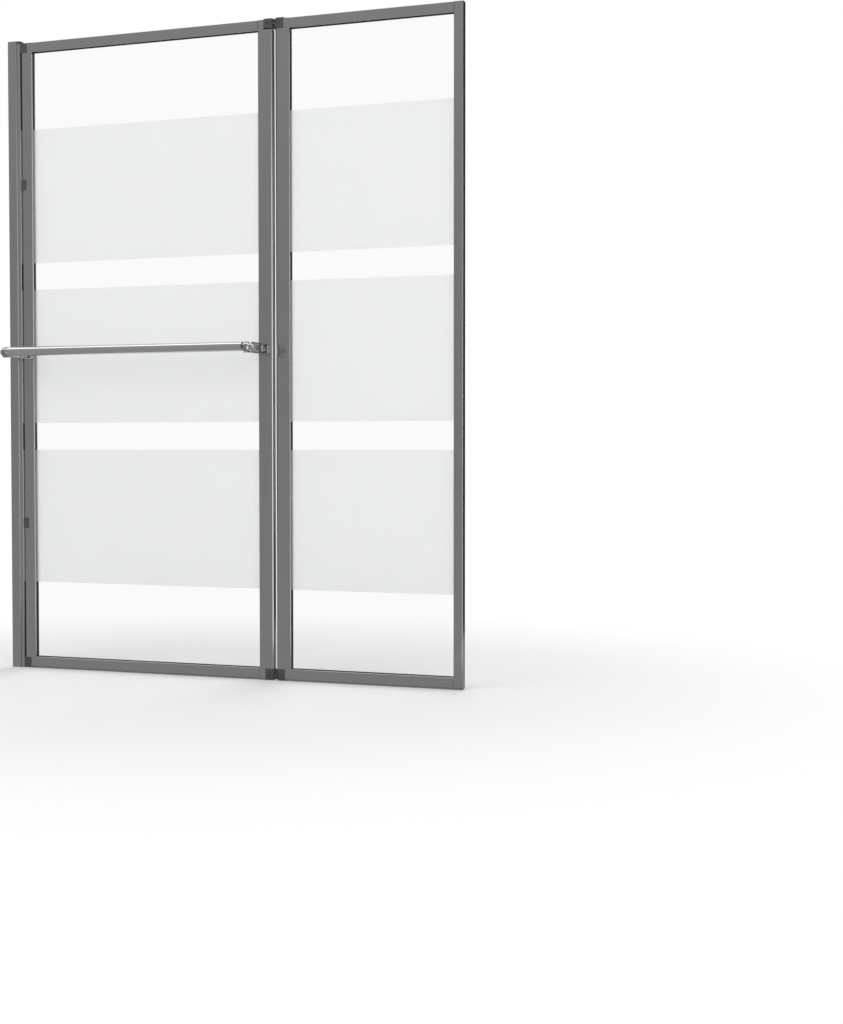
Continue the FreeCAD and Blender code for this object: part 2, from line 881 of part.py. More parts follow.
def rail_arm(x, outward):
    """A moulded arm: a round knob that holds the tube, and a bar dished on both sides."""
    half_height = arm_height / 2
    half_width = arm_width / 2
    depth = ALONG_X * outward
    knob_centre = side_view(x)(towel_rail_stand_off, 0)
    tube_centre = FreeCAD.Vector(x, rail_axis_y(), towel_rail_height)
    bar = rounded_rectangle(
        lambda across, up: FreeCAD.Vector(x + across, -half_depth, knob_centre.z + up),
        (-half_width, -half_height),
        (half_width, half_height),
        arm_round)
    bar = bar.extrude(ALONG_Y * -towel_rail_stand_off)
    trim = Part.makeCone(
        knob_radius, knob_radius + towel_rail_stand_off, towel_rail_stand_off, knob_centre, ALONG_Y)
    arm = bar.common(trim)
    for side in (-1, 1):
        face_x = x + side * half_width
        floor_x = face_x - side * recess_depth
        dish = arm_slot(floor_x, recess_start, recess_length, recess_height)
        arm = arm.cut(dish.extrude(ALONG_X * side * (recess_depth + overrun)))
        arm = arm.cut(flare(face_x, side))
    floor_x = x + outward * (half_width - recess_depth)
    ring = arm_slot(floor_x, ring_start, ring_length, ring_height)
    ring = ring.extrude(depth * (recess_depth - ring_drop))
    pocket_height = ring_height - 2 * ring_wall
    pocket = arm_slot(
        x + outward * (half_width - ring_floor_depth),
        ring_start + ring_wall,
        ring_length - 2 * ring_wall,
        pocket_height)
    pocket = pocket.extrude(depth * (ring_floor_depth + overrun))
    knob = Part.makeSphere(knob_radius, knob_centre, ALONG_Y)
    arm = arm.multiFuse([ring, knob]).removeSplitter()
    arm = arm.cut(pocket.cut(knob))
    notch = box(
        (x - outward * tube_seat, x - outward * (knob_radius + overrun)),
        (rail_axis_y() - knob_radius - overrun, rail_axis_y() + tube_radius + body_clearance),
        (knob_centre.z - arm_height, knob_centre.z + arm_height))
    socket = rod(
        spigot_radius + fixed_clearance,
        tube_centre - depth * (tube_seat + overrun),
        tube_centre - depth * (tube_seat - spigot_length - fixed_clearance))
    head_seat = rod(
        knob_radius,
        tube_centre + depth * end_head_seat,
        tube_centre + depth * (end_head_seat + overrun))
    end_hole = rod(
        end_screw_radius + fixed_clearance,
        tube_centre,
        tube_centre + depth * (end_head_seat + overrun))
    return arm.cut([notch, socket, head_seat, end_hole, *arm_screws(x, fixed_clearance)])


def arm_screws(x, grow=0.0):
    """Two countersunk screws from the stile's back into an arm."""
    length = frame_depth + arm_screw_depth
    middle = towel_rail_height - arm_drop
    return [
        countersunk_screw(
            FreeCAD.Vector(x, half_depth, middle + side * arm_screw_spacing / 2),
            ALONG_Y.negative(),
            arm_screw_radius,
            arm_screw_head_radius,
            arm_screw_head_height,
            length,
            grow)
        for side in (-1, 1)]


def tube_ends():
    """Each end of the tube: the point on its axis at the arm's seat, and the way outwards."""
    return [
        (FreeCAD.Vector(left_arm_x + tube_seat, rail_axis_y(), towel_rail_height), -1),
        (FreeCAD.Vector(right_arm_x - tube_seat, rail_axis_y(), towel_rail_height), 1)]


def rail_tube():
    start, end = [point for point, outward in tube_ends()]
    return rod(tube_radius, start, end).cut(rod(tube_radius - tube_wall, start, end))


def rail_plugs():
    """Plugs in the tube's ends, with spigots that enter the arms and take the end screws."""
    plugs = []
    for seat, outward in tube_ends():
        depth = ALONG_X * outward
        body = rod(tube_radius - tube_wall - fixed_clearance, seat - depth * plug_depth, seat)
        spigot = rod(spigot_radius, seat, seat + depth * spigot_length)
        hole = rod(
            end_screw_radius + fixed_clearance,
            seat + depth * (spigot_length - end_screw_depth),
            seat + depth * (spigot_length + overrun))
        plugs.append(body.fuse(spigot).removeSplitter().cut(hole))
    return plugs


def rail_end_screws():
    """Screws with tall round heads that draw the tube into its arms."""
    screws = []
    for seat, outward in tube_ends():
        depth = ALONG_X * outward
        head_seat = seat + depth * (tube_seat + end_head_seat)
        head = rod(end_head_radius, head_seat, head_seat + depth * end_head_height)
        head = head.makeFillet(end_head_round, [
            edge for edge in head.Edges
            if edge.BoundBox.XLength < end_head_round
            and abs(edge.BoundBox.Center.x - head_seat.x) > end_head_round])
        tip = seat + depth * (spigot_length - end_screw_depth + end_screw_radius)
        shank = rod(end_screw_radius, tip, head_seat)
        screws.append(head.fuse(shank).removeSplitter())
    return screws


# The whole screen, by name

def build():
    left_arm_screws = arm_screws(left_arm_x)
    right_arm_screws = arm_screws(right_arm_x)
    inner_holes = key_screw_holes(inner_sight_left, inner_sight_right)
    outer_holes = key_screw_holes(outer_sight_left, outer_sight_right)
    inner_seal_ends = (
        swing_x + block_radius + 2 * body_clearance,
        inner_fold_x - hinge_cap_back - seal_end_gap)
    outer_seal_ends = (
        outer_fold_x + hinge_cap_back + seal_end_gap,
        outer_sight_right + free_stile_width - profile_round)
    nodes = {
        "wall_profile": [wall_profile()],
        "wall_profile_cap": [wall_profile_cap()],
        "hinge_post": [hinge_post()],
        "hinge_post_cap": [hinge_post_cap()],
        "adjuster_screws": adjuster_screws(),
        "post_strips": post_strips(),
        "wall_hinge_top_block": [hinge_knuckle(top_block_span(), block_radius, hinge_cap_round)],
        "wall_hinge_bottom_block": [
            hinge_knuckle(bottom_block_span(), block_radius, hinge_cap_round)],
        "wall_hinge_lower_clip": [hinge_knuckle(clip_span(lower_clip_z), clip_radius, clip_round)],
        "wall_hinge_upper_clip": [hinge_knuckle(clip_span(upper_clip_z), clip_radius, clip_round)],
        "wall_hinge_pins": wall_hinge_pins(),
        "inner_hinge_stile": [hinge_stile(arm_screws(left_arm_x, fixed_clearance))],
        "inner_centre_stile": [centre_stile(
            inner_sight_right,
            1,
            [*inner_holes, *arm_screws(right_arm_x, fixed_clearance)],
            True)],
        "inner_top_hinge_cap": [
            hinge_cap(inner_fold_x, 1, top_cap_span(), True, top_shadow_gap)],
        "inner_bottom_hinge_cap": [hinge_cap(inner_fold_x, 1, bottom_cap_span(), False)],
        "inner_hinge_pins": centre_pins(inner_fold_x),
        "top_link": [hinge_link(top_cap_span())],
        "bottom_link": [hinge_link(bottom_cap_span())],
        "outer_top_hinge_cap": [hinge_cap(outer_fold_x, -1, top_cap_span(), True)],
        "outer_bottom_hinge_cap": [hinge_cap(outer_fold_x, -1, bottom_cap_span(), False)],
        "outer_hinge_pins": centre_pins(outer_fold_x),
        "outer_centre_stile": [centre_stile(outer_sight_left, -1, outer_holes, False)],
        "outer_free_stile": [
            stile(frame_section(free_stile_width), outer_sight_right, 1).cut(outer_holes)],
        "towel_rail_tube": [rail_tube()],
        "towel_rail_left_arm": [rail_arm(left_arm_x, -1)],
        "towel_rail_right_arm": [rail_arm(right_arm_x, 1)],
        "towel_rail_plugs": rail_plugs(),
        "towel_rail_end_screws": rail_end_screws(),
        "towel_rail_arm_screws": [*left_arm_screws, *right_arm_screws],
    }
    nodes.update(framed_pane("inner", inner_sight_left, inner_sight_right, *inner_seal_ends))
    nodes.update(framed_pane("outer", outer_sight_left, outer_sight_right, *outer_seal_ends))
    return nodes


os.makedirs("parts", exist_ok=True)
for name, solids in build().items():
    shape = solids[0] if len(solids) == 1 else Part.makeCompound(solids)
    shape.exportStep(os.path.join("parts", name + ".step"))
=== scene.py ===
import bmesh
import bpy
import json
import math
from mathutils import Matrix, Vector


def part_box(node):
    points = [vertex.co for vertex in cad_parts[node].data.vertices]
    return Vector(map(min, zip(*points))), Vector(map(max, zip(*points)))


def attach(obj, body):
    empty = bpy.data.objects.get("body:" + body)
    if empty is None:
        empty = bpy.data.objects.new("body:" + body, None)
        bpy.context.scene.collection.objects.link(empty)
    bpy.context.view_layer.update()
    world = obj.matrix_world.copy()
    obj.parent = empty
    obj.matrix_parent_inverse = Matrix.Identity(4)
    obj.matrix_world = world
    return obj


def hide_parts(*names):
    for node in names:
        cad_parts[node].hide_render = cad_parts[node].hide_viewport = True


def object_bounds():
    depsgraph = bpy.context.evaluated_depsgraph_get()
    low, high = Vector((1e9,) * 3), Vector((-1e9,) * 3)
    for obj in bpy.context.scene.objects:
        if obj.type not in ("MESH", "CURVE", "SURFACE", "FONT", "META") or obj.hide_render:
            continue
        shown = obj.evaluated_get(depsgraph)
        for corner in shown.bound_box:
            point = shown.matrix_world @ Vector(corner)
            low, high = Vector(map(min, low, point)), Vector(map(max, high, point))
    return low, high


# The looks of a folding bath screen: its finishes, cross-headed screws and hinge mouldings,
# and a plain studio round it. The solids keep their places and their meshes.

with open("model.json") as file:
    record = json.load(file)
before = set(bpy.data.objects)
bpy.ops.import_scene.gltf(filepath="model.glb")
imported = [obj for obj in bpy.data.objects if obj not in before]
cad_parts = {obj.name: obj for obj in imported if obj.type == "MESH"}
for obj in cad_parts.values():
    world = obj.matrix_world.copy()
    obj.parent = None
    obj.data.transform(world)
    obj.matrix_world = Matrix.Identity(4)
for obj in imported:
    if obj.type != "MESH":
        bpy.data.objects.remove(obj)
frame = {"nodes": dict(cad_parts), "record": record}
cad_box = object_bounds()

# Sizes of the looks, in metres

# Camera, as the photograph was taken
camera_place = (2.0678, -3.0903, 0.4973)
camera_turn = math.radians(19.42)
camera_tilt = math.radians(-1.81)
camera_lens = 56.09
camera_shift = (-0.0008, -0.0147)

# The satin bands in both panes, each a pair of heights above the screen's foot
satin_bands = ((0.194, 0.4903), (0.550, 0.8468), (0.9066, 1.2027))

# Screws: head radius and height, shank radius and length, and the cross recess in the head
adjuster_screw = {
    "Head radius": 0.0042, "Head height": 0.0024, "Dome radius": 0.0055,
    "Shank radius": 0.002, "Length": 0.0095, "Recess width": 0.0011, "Recess length": 0.0046,
    "Recess depth": 0.0013, "Domed": True}
corner_screw = {
    "Head radius": 0.0024, "Head height": 0.0013, "Dome radius": 0.005,
    "Shank radius": 0.0013, "Length": 0.006, "Recess width": 0.0007, "Recess length": 0.0029,
    "Recess depth": 0.001, "Domed": False}
arm_screw = {
    "Head radius": 0.0038, "Head height": 0.002, "Dome radius": 0.006,
    "Shank radius": 0.002, "Length": 0.03, "Recess width": 0.001, "Recess length": 0.0044,
    "Recess depth": 0.0015, "Domed": False}
corner_screw_step = 0.0176
head_sides = 40
dome_rings = 24
shank_sides = 24
screw_turn_seed = 7

# The angle in radians past which two faces of a screw meet in a crease
screw_crease = 0.5

# Centre hinge: the caps in the stiles' ends, and the links between them. Its crease is the
# angle past which two faces don't shade as one.
cap_half_depth = 0.008
cap_back = 0.0121
cap_back_round = 0.0008
cap_nose_round = 0.005
cap_height = 0.0227
cap_edge = 0.0004
cap_edge_steps = 2
cap_edge_angle = math.radians(50.0)
cap_crease = math.radians(35.0)
inner_top_gap = 0.003
other_gap = 0.0006
cap_neck_inset = 0.0045
plug_near = 0.0046
plug_far = 0.0113
plug_half_depth = 0.006
pin_bore = 0.00205
top_link_from_end = 0.01
bottom_link_from_end = 0.0085
link_thickness = 0.0052
link_play = 0.0003
link_neck_width = 0.008
link_eye_radius = 0.0079
link_web_width = 0.0024
link_web_clearance = 0.0004
arc_steps = 8
circle_steps = 48

# Floor: its half width, where it fades to white, and how bright polished metal sees it,
# with a shaded quarter beyond a place along the screen and behind it
floor_half = 6.0
floor_fade = (0.5, 1.5)
floor_mirror = 0.362
floor_mirror_shade = 0.15
shade_start = (1.0, 0.9)
shade_soft = 0.1

# The window that lights the noses of the centre stiles: its middle, half width and softness
# in degrees round the studio, and how far from the centre hinge it begins on the floor
nose_window = (-45.0, 20.0, 3.0)
nose_window_start = (0.5, 0.6)

# Bright and dark fields that polished metal sees: the middle and half width in degrees round
# the studio, the lowest and highest level, and the softness of the sides in degrees. Levels
# run from -1 straight down to 1 straight up.
window_level = 1.7
windows = (
    (55.5, 5.5, -0.25, 0.2, 1.5),
    (*nose_window[:2], -0.3, 0.2, nose_window[2]),
    (143.0, 37.0, -0.25, 0.2, 3.0))
curtains = (
    ((28.0, 22.0, -0.3, 0.3, 2.0), 0.1),
    ((73.0, 11.0, -0.3, 0.3, 1.5), 0.05),
    ((-159.0, 22.0, -0.3, 0.3, 3.0), 0.2))

# Overhead fields and how bright they are, in degrees over the top from the front, and how
# softly every field ends at its levels
overhead_fields = (
    ((132.0, 36.0, 0.38, 1.5, 6.0), 0.8),
    ((77.0, 13.0, 0.5, 1.5, 3.0), 2.15))
field_edge = 0.04

# The grey round the fields: two spans of level, and the brightness at the ends of each
grey_above = (0.1, 0.3, 0.342, 0.415)
grey_below = (-0.15, 0.05, 0.03, 0.0)

# Plain light from all round, and softboxes: place, width, height and power
plain_light = 0.6
softboxes = {
    "key_softbox": ((-1.2, -4.2, 2.6), 4.0, 3.0, 95.0),
    "fill_softbox": ((3.4, -2.6, 1.8), 3.0, 2.4, 40.0),
    "back_softbox": ((0.5, 3.6, 2.6), 3.0, 2.0, 60.0)}


# Node helpers

def new_node(tree, kind, inputs=(), **settings):
    """One node, with its settings and what goes into it: a value or another's socket."""
    node = tree.nodes.new(kind)
    for name, value in settings.items():
        setattr(node, name, value)
    for name, value in dict(inputs).items():
        if isinstance(value, bpy.types.NodeSocket):
            tree.links.new(value, node.inputs[name])
        else:
            node.inputs[name].default_value = value
    return node


def add_node(tree, kind, inputs=(), **settings):
    return new_node(tree, "ShaderNode" + kind, inputs, **settings)


def math_node(tree, operation, first, second=0.0):
    return add_node(tree, "Math", {0: first, 1: second}, operation=operation).outputs[0]


def colour_mix(tree, share, first, second):
    """A colour between two. A Mix node's colours are its inputs 6 and 7 and its output 2."""
    node = add_node(tree, "Mix", {"Factor": share}, data_type="RGBA")
    for socket, value in ((node.inputs[6], first), (node.inputs[7], second)):
        if isinstance(value, bpy.types.NodeSocket):
            tree.links.new(value, socket)
        else:
            socket.default_value = (*value, 1.0)
    return node.outputs[2]


def surface_mix(tree, share, first, second):
    return add_node(tree, "MixShader", {0: share, 1: first, 2: second}).outputs[0]


def smooth_step(tree, value, low, high, to_low=0.0, to_high=1.0):
    node = add_node(
        tree,
        "MapRange",
        {"Value": value, "From Min": low, "From Max": high, "To Min": to_low, "To Max": to_high},
        interpolation_type="SMOOTHSTEP")
    return node.outputs["Result"]


def distance_from(tree, place, point):
    return add_node(
        tree, "VectorMath", {0: place, 1: point}, operation="DISTANCE").outputs["Value"]


def noise(tree, place, scale, detail=2.0, stretch=(1.0, 1.0, 1.0)):
    """Cloudy values from 0 to 1, stretched along an axis by a small scale there."""
    mapping = add_node(tree, "Mapping", {"Vector": place, "Scale": stretch})
    node = add_node(
        tree,
        "TexNoise",
        {"Vector": mapping.outputs[0], "Scale": scale, "Detail": detail})
    return node.outputs[0]


# Materials

def new_material(name, metallic=0.0):
    """A material with its tree, its Principled shader and the piece's own coordinates."""
    material = bpy.data.materials.new(name)
    material.use_nodes = True
    tree = material.node_tree
    tree.nodes.clear()
    shader = add_node(tree, "BsdfPrincipled", {"Metallic": metallic})
    add_node(tree, "OutputMaterial", {"Surface": shader.outputs[0]}, name="output")
    place = add_node(tree, "TexCoord").outputs["Object"]
    return material, tree, shader, place


def show(tree, surface):
    """The material shows this surface in place of its plain shader."""
    tree.links.new(surface, tree.nodes["output"].inputs["Surface"])


def colour_between(tree, shader, pattern, first, second):
    tree.links.new(colour_mix(tree, pattern, first, second), shader.inputs["Base Color"])


def roughness_between(tree, shader, pattern, span, roughness):
    """The roughness runs between two values while the pattern runs over a span."""
    tree.links.new(
        smooth_step(tree, pattern, *span, *roughness), shader.inputs["Roughness"])


def add_bump(tree, shader, height, depth):
    bump = add_node(tree, "Bump", {"Height": height, "Distance": depth, "Strength": 1.0})
    tree.links.new(bump.outputs[0], shader.inputs["Normal"])


def frame_metal():
    """Satin grey frame profiles: fine grain, with faint cloudiness in the gloss."""
    material, tree, shader, place = new_material("satin_grey_metal", metallic=1.0)
    cloud = noise(tree, place, scale=14.0, detail=3.0)
    colour_between(tree, shader, cloud, (0.465, 0.472, 0.468), (0.495, 0.502, 0.498))
    roughness_between(tree, shader, cloud, span=(0.3, 0.7), roughness=(0.13, 0.17))
    add_bump(tree, shader, noise(tree, place, scale=1400.0), depth=0.000004)
    return material


def dark_plastic():
    """Moulded dark grey plastic with a spark-eroded grain."""
    material, tree, shader, place = new_material("dark_moulded_plastic")
    grain = noise(tree, place, scale=2600.0, detail=3.0)
    cloud = noise(tree, place, scale=60.0)
    colour_between(tree, shader, cloud, (0.043, 0.048, 0.045), (0.053, 0.059, 0.056))
    roughness_between(tree, shader, grain, span=(0.2, 0.8), roughness=(0.42, 0.55))
    add_bump(tree, shader, grain, depth=0.00002)
    return material


def in_satin_band(tree, place):
    """1 at the heights of the satin bands and 0 between them."""
    height = add_node(tree, "SeparateXYZ", {0: place}).outputs["Z"]
    band = 0.0
    for low, high in satin_bands:
        inside = add_node(
            tree,
            "Math",
            {0: height, 1: (low + high) / 2, 2: (high - low) / 2},
            operation="COMPARE").outputs[0]
        band = math_node(tree, "ADD", inside, band)
    return band


def pane_glass():
    """Clear toughened glass with three level satin bands, which lets light by to the floor."""
    material, tree, shader, place = new_material("glass_with_satin_bands")
    band = in_satin_band(tree, place)
    colour_between(tree, shader, band, (0.975, 0.982, 0.979), (0.84, 0.852, 0.846))
    grain = noise(tree, place, scale=3000.0)
    frosting = smooth_step(tree, grain, 0.2, 0.8, to_low=0.42, to_high=0.5)
    tree.links.new(math_node(tree, "MULTIPLY", band, frosting), shader.inputs["Roughness"])
    see_through = smooth_step(tree, band, 0.0, 1.0, to_low=1.0, to_high=0.75)
    tree.links.new(see_through, shader.inputs["Transmission Weight"])
    shader.inputs["IOR"].default_value = 1.5
    clear = add_node(tree, "BsdfTransparent", {"Color": (0.93, 0.94, 0.935, 1.0)})
    for_shadow = add_node(tree, "LightPath").outputs["Is Shadow Ray"]
    show(tree, surface_mix(tree, for_shadow, shader.outputs[0], clear.outputs[0]))
    return material


def gasket_rubber():
    """Black glazing gasket, painted paler where it lies on the satin bands, for the glow of the
    frosted glass round it.
    """
    material, tree, shader, place = new_material("black_gasket_rubber")
    cloud = noise(tree, place, scale=90.0, detail=3.0)
    black = colour_mix(tree, cloud, (0.018, 0.018, 0.018), (0.03, 0.03, 0.03))
    # Painted light: over the satin bands the black rubber is painted pale grey for the glow of the
    # frosted glass round it.
    painted_satin_glow = colour_mix(tree, cloud, (0.24, 0.245, 0.242), (0.28, 0.285, 0.282))
    colour_between(tree, shader, in_satin_band(tree, place), black, painted_satin_glow)
    shader.inputs["Roughness"].default_value = 0.6
    add_bump(tree, shader, noise(tree, place, scale=1800.0), depth=0.00002)
    return material


def seal_rubber():
    """Grey wiper seal."""
    material, tree, shader, place = new_material("grey_seal_rubber")
    cloud = noise(tree, place, scale=70.0, detail=3.0)
    colour_between(tree, shader, cloud, (0.17, 0.17, 0.17), (0.2, 0.2, 0.2))
    shader.inputs["Roughness"].default_value = 0.55
    add_bump(tree, shader, noise(tree, place, scale=1500.0), depth=0.00003)
    return material


def polished_chrome():
    """Bright chrome of the towel rail, with faint wipe marks in its gloss."""
    material, tree, shader, place = new_material("polished_chrome", metallic=1.0)
    wipes = noise(tree, place, scale=35.0, detail=4.0, stretch=(0.25, 1.0, 1.0))
    colour_between(tree, shader, wipes, (0.6, 0.605, 0.6), (0.64, 0.645, 0.64))
    roughness_between(tree, shader, wipes, span=(0.3, 0.7), roughness=(0.045, 0.085))
    return material


def cast_chrome():
    """Chrome over cast arms, a little duller than the tube."""
    material, tree, shader, place = new_material("chrome_on_castings", metallic=1.0)
    cloud = noise(tree, place, scale=120.0, detail=3.0)
    colour_between(tree, shader, cloud, (0.4, 0.404, 0.4), (0.45, 0.454, 0.45))
    roughness_between(tree, shader, cloud, span=(0.3, 0.7), roughness=(0.06, 0.1))
    return material


def screw_steel():
    """Stainless steel of pins and screws, with turned marks."""
    material, tree, shader, place = new_material("stainless_fasteners", metallic=1.0)
    marks = noise(tree, place, scale=900.0, stretch=(0.2, 1.0, 0.2))
    colour_between(tree, shader, marks, (0.5, 0.5, 0.49), (0.62, 0.62, 0.61))
    roughness_between(tree, shader, marks, span=(0.2, 0.8), roughness=(0.22, 0.38))
    add_bump(tree, shader, marks, depth=0.00001)
    return material


def black_plastic():
    """Black nylon of the corner keys and tube plugs."""
    material, tree, shader, place = new_material("black_nylon")
    grain = noise(tree, place, scale=2200.0)
    colour_between(tree, shader, grain, (0.03, 0.03, 0.03), (0.05, 0.05, 0.05))
    shader.inputs["Roughness"].default_value = 0.5
    add_bump(tree, shader, grain, depth=0.00002)
    return material


finishes = {
    "grey_frame": frame_metal(),
    "dark_plastic": dark_plastic(),
    "glass": pane_glass(),
    "glazing_gasket": gasket_rubber(),
    "bottom_seal": seal_rubber(),
    "polished_rail": polished_chrome(),
    "cast_arms": cast_chrome(),
    "fasteners": screw_steel(),
    "inner_plastic": black_plastic(),
}


def finish_nodes():
    """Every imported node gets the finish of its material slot, or the one seen on it."""
    slot_of = {part["node"]: part["material_slot"] for part in frame["record"]["subparts"]}
    slot_of.update(
        hinge_post_cap="dark_plastic",
        # The post's strips take the black gasket rubber: real seals in the gap by the post, whose
        # black also paints the deep shade of that gap.
        post_strips="glazing_gasket",
        towel_rail_left_arm="cast_arms",
        towel_rail_right_arm="cast_arms")
    for name, node in frame["nodes"].items():
        for slot in node.material_slots:
            slot.material = finishes[slot_of[name]]


# Objects and meshes

def in_scene(name, data):
    """A new object at the scene's origin."""
    thing = bpy.data.objects.new(name, data)
    bpy.context.scene.collection.objects.link(thing)
    return thing


def plain_mesh(thing):
    """The object's mesh with its modifiers worked out."""
    graph = bpy.context.evaluated_depsgraph_get()
    return bpy.data.meshes.new_from_object(thing.evaluated_get(graph))


# Screws with cross heads

def step(tree, kind, inputs=(), **settings):
    """One geometry node of a screw's tree."""
    return new_node(tree, "GeometryNode" + kind, inputs, **settings)


def moved_up(tree, mesh, distance):
    vector = add_node(tree, "CombineXYZ", {"Z": distance}).outputs[0]
    return step(tree, "Transform", {"Geometry": mesh, "Translation": vector}).outputs[0]


def screw_head(tree, sizes, down):
    """A domed or countersunk head with its top at Z zero and a cross recess in it."""
    foot = step(
        tree,
        "Switch",
        {"Switch": sizes["Domed"], "False": sizes["Shank radius"], "True": sizes["Head radius"]},
        input_type="FLOAT").outputs[0]
    blank = step(
        tree,
        "MeshCone",
        {"Vertices": head_sides, "Radius Top": sizes["Head radius"], "Radius Bottom": foot,
         "Depth": sizes["Head height"]}).outputs["Mesh"]
    blank = moved_up(tree, blank, down)
    ball = step(
        tree,
        "MeshUVSphere",
        {"Segments": head_sides, "Rings": dome_rings, "Radius": sizes["Dome radius"]})
    drop = math_node(tree, "MULTIPLY", sizes["Dome radius"], -1.0)
    domed = step(tree, "MeshBoolean", operation="INTERSECT")
    for mesh in (blank, moved_up(tree, ball.outputs["Mesh"], drop)):
        tree.links.new(mesh, domed.inputs["Mesh 2"])
    head = step(
        tree,
        "Switch",
        {"Switch": sizes["Domed"], "False": blank, "True": domed.outputs["Mesh"]},
        input_type="GEOMETRY").outputs[0]
    depth = math_node(tree, "MULTIPLY", sizes["Recess depth"], 2.0)
    crossed = step(tree, "MeshBoolean", {"Mesh 1": head}, operation="DIFFERENCE")
    for along, across in (("Recess length", "Recess width"), ("Recess width", "Recess length")):
        size = add_node(
            tree, "CombineXYZ", {"X": sizes[along], "Y": sizes[across], "Z": depth})
        slot = step(tree, "MeshCube", {"Size": size.outputs[0]}).outputs["Mesh"]
        tree.links.new(slot, crossed.inputs["Mesh 2"])
    return crossed.outputs["Mesh"]


def screw_shank(tree, sizes, down):
    """A plain shank from under the head to the screw's end."""
    length = math_node(tree, "SUBTRACT", sizes["Length"], sizes["Head height"])
    shank = step(
        tree,
        "MeshCylinder",
        {"Vertices": shank_sides, "Radius": sizes["Shank radius"], "Depth": length})
    half = math_node(tree, "MULTIPLY", length, -0.5)
    return moved_up(tree, shank.outputs["Mesh"], math_node(tree, "ADD", half, down))


def whole_screw(tree, sizes):
    """Head and shank together, with creases where their faces meet at an angle."""
    down = math_node(tree, "MULTIPLY", sizes["Head height"], -1.0)
    screw = step(tree, "JoinGeometry")
    for mesh in (screw_shank(tree, sizes, down), screw_head(tree, sizes, down)):
        tree.links.new(mesh, screw.inputs[0])
    meeting = step(tree, "InputMeshEdgeAngle").outputs["Unsigned Angle"]
    sharp = new_node(
        tree,
        "FunctionNodeCompare",
        {0: meeting, 1: screw_crease},
        data_type="FLOAT",
        operation="GREATER_THAN").outputs[0]
    return step(
        tree,
        "SetShadeSmooth",
        {"Geometry": screw.outputs[0], "Selection": sharp, "Shade Smooth": False},
        domain="EDGE").outputs[0]


def screw_tree():
    """Geometry nodes that set a cross-headed screw on every point, its head towards +Y."""
    tree = bpy.data.node_groups.new("cross_head_screws", "GeometryNodeTree")
    tree.interface.new_socket("Points", in_out="INPUT", socket_type="NodeSocketGeometry")
    for name in adjuster_screw:
        kind = "NodeSocketBool" if name == "Domed" else "NodeSocketFloat"
        tree.interface.new_socket(name, in_out="INPUT", socket_type=kind)
    tree.interface.new_socket("Metal", in_out="INPUT", socket_type="NodeSocketMaterial")
    tree.interface.new_socket("Screws", in_out="OUTPUT", socket_type="NodeSocketGeometry")
    sizes = tree.nodes.new("NodeGroupInput").outputs
    set_out = step(
        tree,
        "InstanceOnPoints",
        {"Points": sizes["Points"], "Instance": whole_screw(tree, sizes),
         "Rotation": (math.radians(-90.0), 0.0, 0.0)}).outputs[0]
    turn = new_node(
        tree,
        "FunctionNodeRandomValue",
        {"Max": math.radians(90.0), "Seed": screw_turn_seed},
        data_type="FLOAT")
    turn_value = [socket for socket in turn.outputs if socket.enabled][0]
    rotation = add_node(tree, "CombineXYZ", {"Z": turn_value}).outputs[0]
    turned = step(tree, "RotateInstances", {"Instances": set_out, "Rotation": rotation})
    real = step(tree, "RealizeInstances", {"Geometry": turned.outputs[0]}).outputs[0]
    metal = step(tree, "SetMaterial", {"Geometry": real, "Material": sizes["Metal"]})
    tree.links.new(metal.outputs[0], tree.nodes.new("NodeGroupOutput").inputs[0])
    return tree


def set_screws(tree, node, body, kind, columns, rows):
    """Cross-headed screws for a node, at each column and row, with their heads on its far side."""
    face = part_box(node)[1][1]
    mesh = bpy.data.meshes.new(node + "_points")
    mesh.from_pydata([(x, face, z) for x in columns for z in rows], [], [])
    holder = in_scene(node + "_points", mesh)
    modifier = holder.modifiers.new("screws", "NODES")
    modifier.node_group = tree
    values = dict(kind, Metal=finishes["fasteners"])
    for socket in tree.interface.items_tree:
        if socket.in_out == "INPUT" and socket.name in values:
            modifier[socket.identifier] = values[socket.name]
    made = plain_mesh(holder)
    bpy.data.objects.remove(holder)
    piece = in_scene(node + "_cross_heads", made)
    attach(piece, body)
    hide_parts(node)


def all_screws():
    """The screws on the back: post clamps, pairs in the corners, and the towel rail's arms."""
    tree = screw_tree()
    for node, body, kind, pair_step in (
            ("inner_corner_screws", "inner_panel", corner_screw, corner_screw_step),
            ("outer_corner_screws", "outer_panel", corner_screw, corner_screw_step),
            ("towel_rail_arm_screws", "inner_panel", arm_screw, 0.0),
            ("adjuster_screws", "hinge_post", adjuster_screw, 0.0)):
        low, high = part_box(node)
        radius = kind["Head radius"]
        columns = [low[0] + radius, high[0] - radius]
        rows = [low[2] + radius, high[2] - radius]
        if pair_step:
            columns += [columns[0] + pair_step, columns[1] - pair_step]
        if node == "adjuster_screws":
            columns = columns[:1]
            rows.append(sum(rows) / 2)
        set_screws(tree, node, body, kind, columns, rows)


# Centre hinge. Toward is 1 for a cap whose nose points along +X, and -1 for one that points
# back at it. Inwards is the way from the frame's end into the stile: -1 at the top, 1 below.

def prism(name, outline, *ends):
    """An upright solid between two levels, on an outline that runs anticlockwise in plan."""
    low, high = sorted(ends)
    shape = bmesh.new()
    lower = [shape.verts.new((x, y, low)) for x, y in outline]
    upper = [shape.verts.new((x, y, high)) for x, y in outline]
    shape.faces.new(reversed(lower))
    shape.faces.new(upper)
    for place, corner in enumerate(lower):
        following = (place + 1) % len(lower)
        shape.faces.new((corner, lower[following], upper[following], upper[place]))
    mesh = bpy.data.meshes.new(name)
    shape.to_mesh(mesh)
    shape.free()
    return in_scene(name, mesh)


def rectangle(x_ends, half_depth):
    low, high = sorted(x_ends)
    return [(low, -half_depth), (high, -half_depth), (high, half_depth), (low, half_depth)]


def circle(radius, middle_x):
    turns = [2 * math.pi * place / circle_steps for place in range(circle_steps)]
    return [(middle_x + radius * math.cos(turn), radius * math.sin(turn)) for turn in turns]


